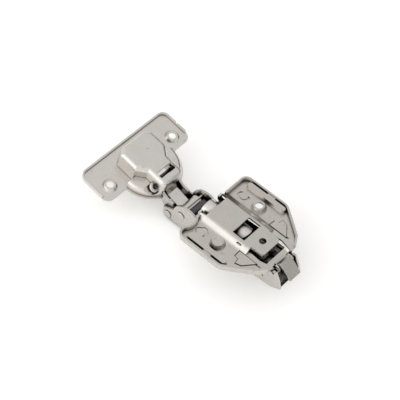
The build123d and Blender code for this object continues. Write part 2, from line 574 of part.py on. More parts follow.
# ================================================================ carrier
with BuildPart() as clip_carrier:
    with BuildSketch(Plane.YZ.offset(CARRIER_FRONT)) as arch:
        with BuildLine():
            Line((-carrier_half, CARRIER_BOTTOM), (-carrier_half, CARRIER_TOP - 2.6))
            ThreePointArc((-carrier_half, CARRIER_TOP - 2.6), (0, CARRIER_TOP),
                          (carrier_half, CARRIER_TOP - 2.6))
            Line((carrier_half, CARRIER_TOP - 2.6), (carrier_half, CARRIER_BOTTOM))
            Line((carrier_half, CARRIER_BOTTOM), (-carrier_half, CARRIER_BOTTOM))
        make_face()
    extrude(amount=CARRIER_REAR - CARRIER_FRONT)
    with BuildSketch(Plane.YZ.offset(CARRIER_FRONT)):
        with BuildLine():
            inner = carrier_half - SHEET
            Line((-inner, CARRIER_BOTTOM), (-inner, CARRIER_TOP - 3.4))
            ThreePointArc((-inner, CARRIER_TOP - 3.4), (0, CARRIER_TOP - SHEET), (inner, CARRIER_TOP - 3.4))
            Line((inner, CARRIER_TOP - 3.4), (inner, CARRIER_BOTTOM))
            Line((inner, CARRIER_BOTTOM), (-inner, CARRIER_BOTTOM))
        make_face()
    extrude(amount=CARRIER_REAR - CARRIER_FRONT, mode=Mode.SUBTRACT)
    # side outline: front nose, clearance under the latch bar, ears of the lever pin
    nose_cut = slab(((CARRIER_FRONT, CARRIER_TOP + 1), (CARRIER_FRONT, -5.4),
                     (CARRIER_FRONT + 3.4, CARRIER_BOTTOM - 1), (CARRIER_FRONT - 1, CARRIER_BOTTOM - 1),
                     (CARRIER_FRONT - 1, CARRIER_TOP + 1)))
    bar_cut = slab(((12, CARRIER_TOP + 1), (12, -6.4), (28.9, -6.4), (28.9, -2.4), (CARRIER_REAR + 1, -2.4),
                    (CARRIER_REAR + 1, CARRIER_TOP + 3), (12, CARRIER_TOP + 3)))
    for cut in (nose_cut, bar_cut):
        extrude(cut, amount=carrier_half + 1, both=True, mode=Mode.SUBTRACT)
    # open top behind the rounded end of the arch
    with BuildSketch(Plane.XY.offset(CARRIER_BOTTOM)):
        with BuildLine():
            ThreePointArc((CARRIER_ARCH_END - 2.6, -carrier_half), (CARRIER_ARCH_END, 0),
                          (CARRIER_ARCH_END - 2.6, carrier_half))
            Polyline((CARRIER_ARCH_END - 2.6, carrier_half), (CARRIER_REAR + 1, carrier_half),
                     (CARRIER_REAR + 1, -carrier_half), (CARRIER_ARCH_END - 2.6, -carrier_half))
        make_face()
    extrude(amount=20, mode=Mode.SUBTRACT)
    for side in (-1, 1):
        extrude(slab(((CARRIER_ARCH_END - 4, CARRIER_BOTTOM), (CARRIER_REAR - 3, CARRIER_BOTTOM),
                      (CARRIER_REAR, -7.0), (CARRIER_REAR, -4.2), (31.4, -3.0), (29.6, -3.0), (28.9, -4.2),
                      (28.9, -6.4), (12, -6.4), (8, -7.5), (CARRIER_ARCH_END - 4, -7.5)),
                     SIDE.offset(side * carrier_half)), amount=-side * SHEET)
        # front hook under the plate, and its ear before the plate's edge
        with BuildSketch(SIDE.offset(side * HOOK_ROOT)):
            with BuildLine():
                Line((PLATE_FRONT + 1.6, hook_level), (hook_x + 0.9, hook_level))
            trace(line_width=HOOK_SHEET)
        extrude(amount=side * (HOOK_HALF_WIDTH - HOOK_ROOT))
        with BuildSketch(SIDE.offset(side * (HOOK_HALF_WIDTH - HOOK_EAR))):
            with BuildLine():
                FilletPolyline((PLATE_FRONT + 1.6, hook_level), (hook_x, hook_level),
                               (hook_x, HOOK_TIP), radius=1.2)
            trace(line_width=HOOK_SHEET)
        extrude(amount=side * HOOK_EAR)
    with BuildSketch(Plane.XY.offset(CARRIER_BOTTOM)):
        with Locations(((BRIDGE[0] + BRIDGE[1]) / 2, 0)):
            Rectangle(BRIDGE[1] - BRIDGE[0], 2 * carrier_half)
        with Locations((CAM_X, -0.1)):
            Rectangle(2 * (CAM_PIN_RADIUS + 0.1), 3.0, align=(Align.CENTER, Align.MIN),
                      mode=Mode.SUBTRACT)
    extrude(amount=SHEET)
    extrude(disc_on(SIDE, LEVER_PIVOT, LEVER_PIN_RADIUS), amount=carrier_half + 1, both=True,
            mode=Mode.SUBTRACT)

# ================================================================ adjusters
with BuildPart() as adjuster_plate:
    with BuildSketch(SIDE):
        with BuildLine():
            Polyline((ADJUSTER_FRONT, ADJUSTER_FLOOR), (TILT_PIVOT[0] - 2.2, ADJUSTER_FLOOR),
                     (TILT_PIVOT[0] - 1.4, TILT_PIVOT[1] - 1.8), (TILT_PIVOT[0] + 1.4, TILT_PIVOT[1] - 1.8),
                     (ADJUSTER_REAR, TILT_PIVOT[1]), (ADJUSTER_REAR, ADJUSTER_TOP),
                     (ADJUSTER_FRONT + 9, ADJUSTER_TOP),
                     (ADJUSTER_FRONT, ADJUSTER_TOP - 4), close=True)
        make_face()
    extrude(amount=adjuster_half, both=True)
    with BuildSketch(Plane.XY.offset(ADJUSTER_FLOOR + SHEET)):
        with Locations((ADJUSTER_FRONT, 0)):
            Rectangle(60, 2 * adjuster_inner, align=(Align.MIN, Align.CENTER))
    extrude(amount=20, mode=Mode.SUBTRACT)
    with BuildSketch(Plane.XY.offset(ADJUSTER_FLOOR - 5)):
        with Locations((TILT_PIVOT[0] - 2.2, 0)):
            Rectangle(20, 2 * adjuster_inner, align=(Align.MIN, Align.CENTER))
        with Locations((OVERLAY_SCREW_X, 0)):
            Circle(OVERLAY_NECK_RADIUS + RUNNING)
        with Locations((CAM_X, 0)):
            Circle(CAM_JOURNAL_RADIUS + RUNNING)
    extrude(amount=20, mode=Mode.SUBTRACT)
    extrude(disc_on(SIDE, TILT_PIVOT, TILT_PIN_RADIUS + RUNNING), amount=ARM_HALF_WIDTH, both=True,
            mode=Mode.SUBTRACT)

with BuildPart() as tilt_pin:
    extrude(disc_on(SIDE, TILT_PIVOT, TILT_PIN_RADIUS), amount=ARM_HALF_WIDTH + 0.3, both=True)

with BuildPart() as overlay_screw:
    with Locations((OVERLAY_SCREW_X, 0, OVERLAY_SCREW_TIP)):
        Cylinder(OVERLAY_SCREW_RADIUS, ADJUSTER_FLOOR - SIDE_PLAY - OVERLAY_SCREW_TIP,
                 align=STANDING)
        Cylinder(OVERLAY_NECK_RADIUS, ADJUSTER_FLOOR + SHEET + SIDE_PLAY + 0.8 - OVERLAY_SCREW_TIP,
                 align=STANDING)
    with Locations((OVERLAY_SCREW_X, 0, ADJUSTER_FLOOR + SHEET + 0.1)):
        Cylinder(OVERLAY_SCREW_RADIUS, 0.9, align=STANDING)
    with Locations((OVERLAY_SCREW_X, 0, OVERLAY_SCREW_TIP)):
        Box(3.4, 0.9, 1.4, align=STANDING, mode=Mode.SUBTRACT)
        Box(0.9, 3.4, 1.4, align=STANDING, mode=Mode.SUBTRACT)

with BuildPart() as depth_cam:
    with Locations((CAM_X, 0, CAM_HEAD_FACE)):
        Cylinder(CAM_HEAD_RADIUS, ADJUSTER_FLOOR - 0.1 - CAM_HEAD_FACE, align=STANDING)
        Cylinder(CAM_JOURNAL_RADIUS, ADJUSTER_FLOOR + SHEET - CAM_HEAD_FACE,
                 align=STANDING)
    with Locations((CAM_X, CAM_ECCENTRICITY, CAM_HEAD_FACE)):
        Cylinder(CAM_PIN_RADIUS, CARRIER_BOTTOM + SHEET + 0.5 - CAM_HEAD_FACE,
                 align=STANDING)
    with Locations((CAM_X, 0, CAM_HEAD_FACE)):
        Box(4.4, 1.1, 1.4, align=STANDING, mode=Mode.SUBTRACT)
        Box(1.1, 4.4, 1.4, align=STANDING, mode=Mode.SUBTRACT)

# ================================================================ release lever
with BuildPart() as release_lever:
    with BuildSketch(SIDE):
        with BuildLine():
            Polyline((28.0, -4.25), (28.8, -4.25), (28.8, -6.4), (29.8, -7.2), (32.2, -7.2), (34.2, -5.9),
                     (38.6, -9.4), (39.5, -8.3), (31.6, -0.9), (29.3, -3.2), (28.0, -3.5), close=True)
        make_face()
    extrude(amount=lever_half, both=True)
    with BuildSketch(SIDE):
        with BuildLine():
            Polyline((20, -4.4), (20, -20), (45, -20), (45, -14), (31.6, -1.95), (29.7, -3.9), (29.7, -4.25),
                     close=True)
        make_face()
    extrude(amount=lever_half - LEVER_SHEET, both=True, mode=Mode.SUBTRACT)
    extrude(disc_on(SIDE, LEVER_PIVOT, LEVER_PIN_RADIUS + RUNNING), amount=9, both=True, mode=Mode.SUBTRACT)

with BuildPart() as lever_pin:
    extrude(disc_on(SIDE, LEVER_PIVOT, LEVER_PIN_RADIUS), amount=carrier_half, both=True)
    for side in (-1, 1):
        extrude(disc_on(SIDE.offset(side * carrier_half), LEVER_PIVOT, 1.6), amount=side * 0.6)


def coil(centre, radius, wire, turns):
    """Close-wound coil about an axis along Y."""
    pitch = 1.15 * wire
    half = turns * pitch / 2
    with BuildPart() as spring:
        with BuildLine():
            Helix(pitch=pitch, height=2 * half, radius=radius, center=(centre[0], half, centre[1]),
                  direction=ACROSS)
        with BuildSketch(Plane((centre[0] + radius, half, centre[1]), z_dir=(0, 0, 1))):
            Circle(wire / 2)
        sweep(is_frenet=True)
    return spring.part


with BuildPart() as lever_spring:
    add(coil(LEVER_PIVOT, LEVER_PIN_RADIUS + 0.15 + LEVER_SPRING_WIRE / 2, LEVER_SPRING_WIRE, 6))

os.makedirs("parts", exist_ok=True)
hinge_cup.part.label = "hinge_cup"
export_step(hinge_cup.part, "parts/hinge_cup.step")
cup_pin.part.label = "cup_pin"
export_step(cup_pin.part, "parts/cup_pin.step")
outer_link.part.label = "outer_link"
export_step(outer_link.part, "parts/outer_link.step")
inner_link.part.label = "inner_link"
export_step(inner_link.part, "parts/inner_link.step")
front_rivet.part.label = "front_rivet"
export_step(front_rivet.part, "parts/front_rivet.step")
rear_rivet.part.label = "rear_rivet"
export_step(rear_rivet.part, "parts/rear_rivet.step")
hinge_arm.part.label = "hinge_arm"
export_step(hinge_arm.part, "parts/hinge_arm.step")
damper_bracket.part.label = "damper_bracket"
export_step(damper_bracket.part, "parts/damper_bracket.step")
damper_housing.part.label = "damper_housing"
export_step(damper_housing.part, "parts/damper_housing.step")
damper_piston.part.label = "damper_piston"
export_step(damper_piston.part, "parts/damper_piston.step")
closing_spring.part.label = "closing_spring"
export_step(closing_spring.part, "parts/closing_spring.step")
base_plate.part.label = "base_plate"
export_step(base_plate.part, "parts/base_plate.step")
clip_carrier.part.label = "clip_carrier"
export_step(clip_carrier.part, "parts/clip_carrier.step")
adjuster_plate.part.label = "adjuster_plate"
export_step(adjuster_plate.part, "parts/adjuster_plate.step")
tilt_pin.part.label = "tilt_pin"
export_step(tilt_pin.part, "parts/tilt_pin.step")
overlay_screw.part.label = "overlay_screw"
export_step(overlay_screw.part, "parts/overlay_screw.step")
depth_cam.part.label = "depth_cam"
export_step(depth_cam.part, "parts/depth_cam.step")
release_lever.part.label = "release_lever"
export_step(release_lever.part, "parts/release_lever.step")
lever_pin.part.label = "lever_pin"
export_step(lever_pin.part, "parts/lever_pin.step")
lever_spring.part.label = "lever_spring"
export_step(lever_spring.part, "parts/lever_spring.step")
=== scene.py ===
import logging
import math
from dataclasses import dataclass, replace
from enum import Enum
from typing import Any, Callable

import bpy
from mathutils import Matrix, Vector


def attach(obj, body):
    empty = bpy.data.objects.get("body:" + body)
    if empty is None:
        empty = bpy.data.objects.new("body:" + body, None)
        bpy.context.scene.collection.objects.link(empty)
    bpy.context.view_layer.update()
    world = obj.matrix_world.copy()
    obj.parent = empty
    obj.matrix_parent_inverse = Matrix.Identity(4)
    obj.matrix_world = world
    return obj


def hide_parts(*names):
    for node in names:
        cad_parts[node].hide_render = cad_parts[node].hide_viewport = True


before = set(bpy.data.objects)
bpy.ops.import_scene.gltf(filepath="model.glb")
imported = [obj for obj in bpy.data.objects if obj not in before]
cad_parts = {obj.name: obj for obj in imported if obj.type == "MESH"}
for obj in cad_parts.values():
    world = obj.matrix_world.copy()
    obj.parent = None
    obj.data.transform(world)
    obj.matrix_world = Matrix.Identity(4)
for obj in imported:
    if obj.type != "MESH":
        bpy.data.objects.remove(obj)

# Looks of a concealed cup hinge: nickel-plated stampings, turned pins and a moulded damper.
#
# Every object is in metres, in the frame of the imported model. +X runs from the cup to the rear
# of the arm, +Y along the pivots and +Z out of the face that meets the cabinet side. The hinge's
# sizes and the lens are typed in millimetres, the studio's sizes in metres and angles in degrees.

LOG = logging.getLogger("hinge")
MM = 0.001

MERGE_MM = 0.002       # corners nearer to each other than this are one corner
NEAR_MM = 0.02         # a corner this near to a place is on it
FLAT_TURN = 0.8        # faces that turn by less are one flat face
SMOOTH_TURN = 24.0     # faces that turn by less are shaded as one curved face
SHARP_TURN = 30.0      # edges that turn by more are broken
BROKEN_STEPS = 2       # faces across a broken edge
ROUND_STEPS = 4        # faces across a rounded bend or corner
NOISE_LOW, NOISE_HIGH = 0.3, 0.7    # most of a noise texture's values lie between these

# a Mix node's sockets share their names, so its colours go by number
MIX_SHARE, MIX_FIRST, MIX_SECOND, MIX_RESULT = 0, 6, 7, 2


class Slot(Enum):
    """Material slots."""

    SHEET = "nickel_sheet"
    PIN = "nickel_pin"
    SPRING = "spring_steel"
    DAMPER = "damper_plastic"
    PISTON = "piston_steel"


class Body(Enum):
    """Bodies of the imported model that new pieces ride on."""

    CUP = "cup"
    OUTER_LINK = "outer_link"
    INNER_LINK = "inner_link"
    ARM = "arm"
    ADJUSTER = "adjuster"
    DEPTH_CAM = "depth_cam"
    OVERLAY_SCREW = "overlay_screw"
    MOUNT = "mount"
    RELEASE_LEVER = "release_lever"


class Wing(Enum):
    """The plate's two wings, by the sign of Y."""

    NEAR = -1
    FAR = 1


class Join(Enum):
    """How a block is joined with the plate, by Blender's name for it."""

    ADD = "UNION"
    CUT = "DIFFERENCE"


def linear(hex_colour: str) -> tuple[float, float, float, float]:
    """Turns an sRGB hex colour into linear RGBA.

    Args:
        hex_colour: colour as "#rrggbb".

    Returns:
        Linear red, green, blue and an alpha of one.
    """
    channels = [int(hex_colour[i:i + 2], 16) / 255 for i in (1, 3, 5)]
    # the sRGB curve: a straight foot and a power above it
    red, green, blue = (c / 12.92 if c <= 0.04045 else ((c + 0.055) / 1.055) ** 2.4
                        for c in channels)
    return (red, green, blue, 1.0)


def add_node(tree: bpy.types.NodeTree, kind: str, inputs: dict[Any, Any] | None = None,
             **settings: Any) -> bpy.types.Node:
    """Adds a node with its settings and links.

    Args:
        tree: node tree to add to.
        kind: node type.
        inputs: input name or number to a value, or to the output socket that feeds it.
        settings: attributes of the node.

    Returns:
        The new node.
    """
    made = tree.nodes.new(kind)
    for name, value in settings.items():
        setattr(made, name, value)
    for socket, value in (inputs or {}).items():
        if isinstance(value, bpy.types.NodeSocket):
            tree.links.new(value, made.inputs[socket])
        else:
            made.inputs[socket].default_value = value
    return made


def per_metre(size_mm: float) -> float:
    """Noise scale that gives features of about size_mm."""
    return 1.0 / (size_mm * MM)


def blank_material(name: str) -> tuple[bpy.types.Material, bpy.types.NodeTree,
                                       bpy.types.NodeSocket]:
    """Starts a material.

    Args:
        name: its name.

    Returns:
        The material, its empty node tree and a socket with the Object coordinates.
    """
    material = bpy.data.materials.new(name)
    material.use_nodes = True
    tree = material.node_tree
    tree.nodes.clear()
    place = add_node(tree, "ShaderNodeTexCoord")
    return material, tree, place.outputs["Object"]


# ------------------------------------------------------------------------------- finishes
@dataclass(frozen=True)
class MetalFinish:
    """A plated or drawn metal surface.

    Nickel over steel is a warm light grey. The sheet is satin from rolling and barrel plating:
    soft reflections, cloudy patches of a few millimetres, faint lines along the rolling
    direction and small handling spots where the plating is duller. Shade in hollows and along
    inner creases is painted into its colour.
    """

    name: str
    tone: str
    cloud: str
    roughness: float
    rough_spread: float
    cloud_mm: float = 6.0
    line_mm: float = 0.5
    line_stretch: tuple[float, float, float] = (0.08, 1.0, 1.0)
    bump_mm: float = 0.004
    bump_strength: float = 0.25
    spot: str = "#b3aca3"
    spot_mm: float = 2.2
    spot_from: float = 0.62
    spot_fade: float = 0.12
    spot_dulls: float = 0.08
    # painted shade in hollows: its tone, how far it reaches, and how open the surroundings are
    # where it is all dark and where it is clear
    hollow_shade: str = "#2a2724"
    hollow_shade_mm: float = 8.0
    hollow_shade_from: float = 0.36
    hollow_shade_to: float = 0.74
    # painted shade along inner creases, told in the same way from what is very near
    crease_shade: str = "#3a3632"
    crease_shade_mm: float = 1.2
    crease_shade_from: float = 0.42
    crease_shade_to: float = 0.72

    def make(self) -> bpy.types.Material:
        """Builds the material.

        Returns:
            A node material that reads Object coordinates.
        """
        material, tree, place = blank_material(self.name)
        # clouds of a few millimetres, where the bath left the plating thicker or thinner
        cloud = add_node(tree, "ShaderNodeTexNoise",
                         {"Vector": place, "Scale": per_metre(self.cloud_mm),
                          "Detail": 3.0, "Roughness": 0.5})
        # rolling lines, long along the strip and coarser than the real ones, which wouldn't show
        strip = add_node(tree, "ShaderNodeMapping", {"Vector": place, "Scale": self.line_stretch})
        line = add_node(tree, "ShaderNodeTexNoise",
                        {"Vector": strip.outputs["Vector"], "Scale": per_metre(self.line_mm),
                         "Detail": 2.0, "Roughness": 0.5})
        # dull spots of one or two millimetres from handling
        spots = add_node(tree, "ShaderNodeTexNoise",
                         {"Vector": place, "Scale": per_metre(self.spot_mm),
                          "Detail": 4.0, "Roughness": 0.6})
        picked = add_node(tree, "ShaderNodeMapRange",
                          {"Value": spots.outputs["Fac"], "From Min": self.spot_from,
                           "From Max": self.spot_from + self.spot_fade})
        tint = add_node(tree, "ShaderNodeMix",
                        {MIX_SHARE: cloud.outputs["Fac"], MIX_FIRST: linear(self.tone),
                         MIX_SECOND: linear(self.cloud)}, data_type="RGBA")
        spotted = add_node(tree, "ShaderNodeMix",
                           {MIX_SHARE: picked.outputs["Result"],
                            MIX_FIRST: tint.outputs[MIX_RESULT],
                            MIX_SECOND: linear(self.spot)}, data_type="RGBA")
        # painted shade: the colour goes dark in corners, slots and gaps, wherever other faces
        # stand close round
        shaded = self.paint_shade(tree, self.hollow_shade_mm, (self.hollow_shade_from, self.hollow_shade_to), self.hollow_shade,
                             spotted.outputs[MIX_RESULT])
        # painted shade: a fine dark line along each inner crease
        colour = self.paint_shade(tree, self.crease_shade_mm, (self.crease_shade_from, self.crease_shade_to),
                             self.crease_shade, shaded)
        rough = add_node(tree, "ShaderNodeMapRange",
                         {"Value": line.outputs["Fac"], "From Min": NOISE_LOW,
                          "From Max": NOISE_HIGH,
                          "To Min": self.roughness - self.rough_spread,
                          "To Max": self.roughness + self.rough_spread})
        worn = add_node(tree, "ShaderNodeMath",
                        {0: picked.outputs["Result"], 1: self.spot_dulls,
                         2: rough.outputs["Result"]}, operation="MULTIPLY_ADD")
        bump = add_node(tree, "ShaderNodeBump", {"Height": line.outputs["Fac"],
                                                 "Strength": self.bump_strength,
                                                 "Distance": self.bump_mm * MM})
        shader = add_node(tree, "ShaderNodeBsdfPrincipled",
                          {"Base Color": colour, "Metallic": 1.0,
                           "Roughness": worn.outputs["Value"],
                           "Normal": bump.outputs["Normal"]})
        add_node(tree, "ShaderNodeOutputMaterial", {"Surface": shader.outputs["BSDF"]})
        return material

    def paint_shade(self, tree: bpy.types.NodeTree, reach_mm: float, open_shares: tuple[float, float],
               dark: str, colour: bpy.types.NodeSocket) -> bpy.types.NodeSocket:
        """Paints shade into the colour where other faces stand close round it.

        Args:
            tree: the material's node tree.
            reach_mm: how far away a face still counts.
            open_shares: how open the surface is where it is all dark, and where it is clear.
            dark: hex colour of the painted shade.
            colour: socket of the colour in the open.

        Returns:
            Socket of the colour with its painted shade.
        """
        around = add_node(tree, "ShaderNodeAmbientOcclusion", {"Distance": reach_mm * MM})
        clear = add_node(tree, "ShaderNodeMapRange",
                         {"Value": around.outputs["AO"], "From Min": open_shares[0],
                          "From Max": open_shares[1]}, interpolation_type="SMOOTHSTEP")
        blend = add_node(tree, "ShaderNodeMix",
                         {MIX_SHARE: clear.outputs["Result"], MIX_FIRST: linear(dark),
                          MIX_SECOND: colour}, data_type="RGBA")
        return blend.outputs[MIX_RESULT]


@dataclass(frozen=True)
class PlasticFinish:
    """Moulded acetal: dark grey, fine spark-eroded grain, a dull sheen."""

    name: str
    tone: str
    cloud: str
    roughness: float
    rough_spread: float = 0.08
    grain_mm: float = 0.4
    bump_mm: float = 0.02
    bump_strength: float = 0.5
    ior: float = 1.48

    def make(self) -> bpy.types.Material:
        """Builds the material.

        Returns:
            A node material that reads Object coordinates.
        """
        material, tree, place = blank_material(self.name)
        # spark-eroded grain, a few times coarser than the real one, which wouldn't show
        grain = add_node(tree, "ShaderNodeTexNoise",
                         {"Vector": place, "Scale": per_metre(self.grain_mm),
                          "Detail": 3.0, "Roughness": 0.6})
        tint = add_node(tree, "ShaderNodeMix",
                        {MIX_SHARE: grain.outputs["Fac"], MIX_FIRST: linear(self.tone),
                         MIX_SECOND: linear(self.cloud)}, data_type="RGBA")
        bump = add_node(tree, "ShaderNodeBump", {"Height": grain.outputs["Fac"],
                                                 "Strength": self.bump_strength,
                                                 "Distance": self.bump_mm * MM})
        rough = add_node(tree, "ShaderNodeMapRange",
                         {"Value": grain.outputs["Fac"],
                          "To Min": self.roughness - self.rough_spread,
                          "To Max": self.roughness + self.rough_spread})
        shader = add_node(tree, "ShaderNodeBsdfPrincipled",
                          {"Base Color": tint.outputs[MIX_RESULT],
                           "Roughness": rough.outputs["Result"], "IOR": self.ior,
                           "Normal": bump.outputs["Normal"]})
        add_node(tree, "ShaderNodeOutputMaterial", {"Surface": shader.outputs["BSDF"]})
        return material


FINISHES: dict[Slot, MetalFinish | PlasticFinish] = {
    # satin grey sheet with soft, slightly stretched reflections
    Slot.SHEET: MetalFinish("satin nickel on rolled sheet", "#c8c4be", "#beb9b3", 0.27, 0.03,
                            spot="#aaa59e"),
    # the same plating on a turned surface, brighter and with no direction in it
    Slot.PIN: MetalFinish("bright nickel on turned steel", "#c8c4be", "#beb9b3", 0.22, 0.03,
                          line_mm=0.3, line_stretch=(1.0, 1.0, 1.0)),
    # bare wire, darker and duller than the plated parts, with the marks of the die
    Slot.SPRING: MetalFinish("drawn spring wire", "#8f8c88", "#77746f", 0.34, 0.05, line_mm=0.2,
                             line_stretch=(1.0, 1.0, 1.0), spot="#6b6863"),
    # dark grey with a dull sheen, the one surface that isn't metal
    Slot.DAMPER: PlasticFinish("moulded acetal", "#4a4a4c", "#3d3d3f", 0.36),
    # smooth neutral grey with fine lines along it
    Slot.PISTON: MetalFinish("ground steel rod", "#b9b7b4", "#a7a5a2", 0.22, 0.03, line_mm=0.2,
                             spot="#9b9995"),
}

# a copy of the sheet finish for the open mounting plate, whose painted shade is kept to tight
# places
OPEN_SHEET = replace(FINISHES[Slot.SHEET], name="satin nickel on open sheet", hollow_shade_mm=5.0,
                     hollow_shade_from=0.22, hollow_shade_to=0.6)
# the cup and the inner link: a lighter copy of the open sheet, painted brighter for the light that
# falls on them, with less painted shade in their hollows
DRAWN_SHEET = replace(OPEN_SHEET, name="satin nickel on drawn sheet", tone="#d6d2cd",
                      cloud="#ccc7c1", spot="#bbb6af", hollow_shade_mm=4.0, hollow_shade_from=0.05, hollow_shade_to=0.34)
# the carrier: a lighter copy of the sheet finish, painted brighter for the light on its arch, with
# painted shade almost black inside its channel
CHANNEL_SHEET = replace(FINISHES[Slot.SHEET], name="satin nickel on channel sheet", tone="#dcd8d3",
                        cloud="#d2cdc7", hollow_shade="#171513", hollow_shade_from=0.5, hollow_shade_to=0.84)


# ------------------------------------------------------------------------------- mesh helpers
def pick_only(piece: bpy.types.Object) -> None:
    """Makes one object the only selected one and the active one.

    Args:
        piece: the object.
    """
    bpy.ops.object.select_all(action="DESELECT")
    piece.select_set(True)
    bpy.context.view_layer.objects.active = piece


def merged_copy(node_name: str) -> bpy.types.Object:
    """Copies a CAD node's solid, with its loose triangles merged into faces.

    Args:
        node_name: CAD node to copy.

    Returns:
        The new piece, with no material yet.
    """
    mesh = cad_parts[node_name].data.copy()
    mesh.materials.clear()
    piece = bpy.data.objects.new(node_name + "_finished", mesh)
    bpy.context.scene.collection.objects.link(piece)
    pick_only(piece)
    bpy.ops.object.mode_set(mode="EDIT")
    bpy.ops.mesh.select_all(action="SELECT")
    bpy.ops.mesh.remove_doubles(threshold=MERGE_MM * MM)
    bpy.ops.mesh.dissolve_limited(angle_limit=math.radians(FLAT_TURN))
    bpy.ops.object.mode_set(mode="OBJECT")
    return piece


def round_edges(piece: bpy.types.Object, chosen: Callable[[Vector, Vector], bool],
                width_mm: float, least_turn: float = 0.0) -> None:
    """Rounds the edges whose two ends are chosen.

    Args:
        piece: piece to round.
        chosen: tells from an edge's two ends, in millimetres, if it is rounded.
        width_mm: distance from the edge at which the rounding starts.
        least_turn: edges that turn by less are left alone.
    """
    pick_only(piece)
    bpy.ops.object.mode_set(mode="EDIT")
    bpy.ops.mesh.select_mode(type="EDGE")
    bpy.ops.mesh.select_all(action="DESELECT")
    if least_turn:
        bpy.ops.mesh.edges_select_sharp(sharpness=math.radians(least_turn))
    bpy.ops.object.mode_set(mode="OBJECT")
    points = piece.data.vertices
    count = 0
    for edge in piece.data.edges:
        first, second = (points[i].co / MM for i in edge.vertices)
        edge.select = (edge.select or not least_turn) and chosen(first, second)
        count += edge.select
    bpy.ops.object.mode_set(mode="EDIT")
    bpy.ops.mesh.bevel(offset=width_mm * MM, segments=ROUND_STEPS, affect="EDGES",
                       clamp_overlap=True)
    bpy.ops.object.mode_set(mode="OBJECT")
    LOG.info("%s: %d edges rounded", piece.name, count)


def smooth(piece: bpy.types.Object) -> None:
    """Shades a piece's curved faces smooth and keeps its flat ones flat.

    Args:
        piece: piece to shade.
    """
    pick_only(piece)
    bpy.ops.object.shade_smooth_by_angle(angle=math.radians(SMOOTH_TURN))
    weighted = piece.modifiers.new("normals", "WEIGHTED_NORMAL")
    weighted.keep_sharp = True
    bpy.ops.object.modifier_apply(modifier=weighted.name)


def break_edges(piece: bpy.types.Object, width_mm: float) -> None:
    """Breaks the sharp edges, as tumbling and plating do, and smooths the faces.

    Args:
        piece: piece to finish.
        width_mm: width of the broken edge, which the piece's shortest edges may limit.
    """
    pick_only(piece)
    bevel = piece.modifiers.new("edge", "BEVEL")
    bevel.width = width_mm * MM
    bevel.segments = BROKEN_STEPS
    bevel.limit_method = "ANGLE"
    bevel.angle_limit = math.radians(SHARP_TURN)
    bevel.use_clamp_overlap = True
    bevel.miter_outer = "MITER_ARC"
    bpy.ops.object.modifier_apply(modifier=bevel.name)
    smooth(piece)


def seat(piece: bpy.types.Object, body: Body, material: bpy.types.Material,
         stands_for: str) -> None:
    """Dresses a piece, hangs it on its body and hides the CAD node that it stands for.

    Args:
        piece: the finished piece.
        body: body that it moves with.
        material: its material.
        stands_for: CAD node that it replaces.
    """
    piece.data.materials.clear()
    piece.data.materials.append(material)
    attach(piece, body.value)
    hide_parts(stands_for)
    LOG.info("%s rides on %s", piece.name, body.value)


# -------------------------------------------------------------------------- sub-assemblies
@dataclass
class Fitting:
    """What every sub-assembly shares: its materials, and how a stamping or a pin is dressed."""

    materials: dict[Slot, bpy.types.Material]

    def finish_stamping(self, piece: bpy.types.Object, node_name: str, body: Body, slot: Slot,
                        edge_mm: float, own: MetalFinish | None = None) -> None:
        """Breaks a piece's edges and seats it in place of its CAD node.

        Args:
            piece: merged copy of the node.
            node_name: CAD node that it replaces.
            body: body that it moves with.
            slot: its material slot.
            edge_mm: width of its broken edges.
            own: its own finish, where it isn't the slot's.
        """
        break_edges(piece, edge_mm)
        material = own.make() if own else self.materials[slot]
        seat(piece, body, material, node_name)

    def stamping(self, node_name: str, body: Body, slot: Slot, edge_mm: float,
                 own: MetalFinish | None = None) -> None:
        """Makes a piece with broken edges from a CAD node and seats it."""
        self.finish_stamping(merged_copy(node_name), node_name, body, slot, edge_mm, own)

    def keep(self, node_name: str, slot: Slot) -> None:
        """Leaves a CAD node showing, in its slot's finish.

        Args:
            node_name: the CAD node.
            slot: its material slot.
        """
        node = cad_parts[node_name]
        node.data.materials.clear()
        node.data.materials.append(self.materials[slot])
        LOG.info("%s keeps its CAD shape", node_name)


@dataclass
class Cup(Fitting):
    """Drawn cup with its flange, and the wire that the links hang on.

    Its bowl's corners are placed along and across the flange, from the middle of the line of its
    screw holes, and reach from corner_foot to corner_top above it.
    """

    edge_mm: float = 0.3
    origin: tuple[float, float, float] = (-69.62874, 0.0, -10.19238)
    tilt: float = 11.7
    corners: tuple[tuple[float, float], ...] = ((-6.5, 12.3), (5.0, 12.3), (10.5, 7.8),
                                                (-9.6, 8.0))
    corner_reach: float = 3.6
    corner_over: float = 0.3
    corner_round_mm: float = 1.8
    corner_turn: float = 16.0
    corner_foot: float = 0.4
    corner_top: float = 11.4

    def build(self) -> None:
        """Makes the cup and dresses its wire."""
        cup = merged_copy("hinge_cup")
        # a drawn bowl can't have sharp upright corners
        round_edges(cup, self.on_corner, self.corner_round_mm, self.corner_turn)
        self.finish_stamping(cup, "hinge_cup", Body.CUP, Slot.SHEET, self.edge_mm, DRAWN_SHEET)
        self.keep("cup_pin", Slot.PIN)

    def local(self, point: Vector) -> tuple[float, float, float]:
        """Turns a point of the model into the flange's own directions.

        Args:
            point: the point in millimetres.

        Returns:
            How far it lies along, across and above the flange.
        """
        lean = math.radians(self.tilt)
        x, y, z = (point[i] - self.origin[i] for i in range(3))
        return (x * math.cos(lean) - z * math.sin(lean), y,
                x * math.sin(lean) + z * math.cos(lean))

    def on_corner(self, first: Vector, second: Vector) -> bool:
        """Tells if both ends of an edge lie on the bowl's upright outer corners."""
        return all(self.at_corner(*self.local(point)) for point in (first, second))

    def at_corner(self, along: float, across: float, above: float) -> bool:
        """Tells if a point lies on one of the bowl's upright outer corners.

        Args:
            along: its place along the flange.
            across: its place across the flange.
            above: its height above the flange.

        Returns:
            If it does.
        """
        if not self.corner_foot < above < self.corner_top:
            return False
        return any(abs(along - u) < self.corner_reach
                   and -self.corner_reach < abs(across) - v < self.corner_over
                   for u, v in self.corners)


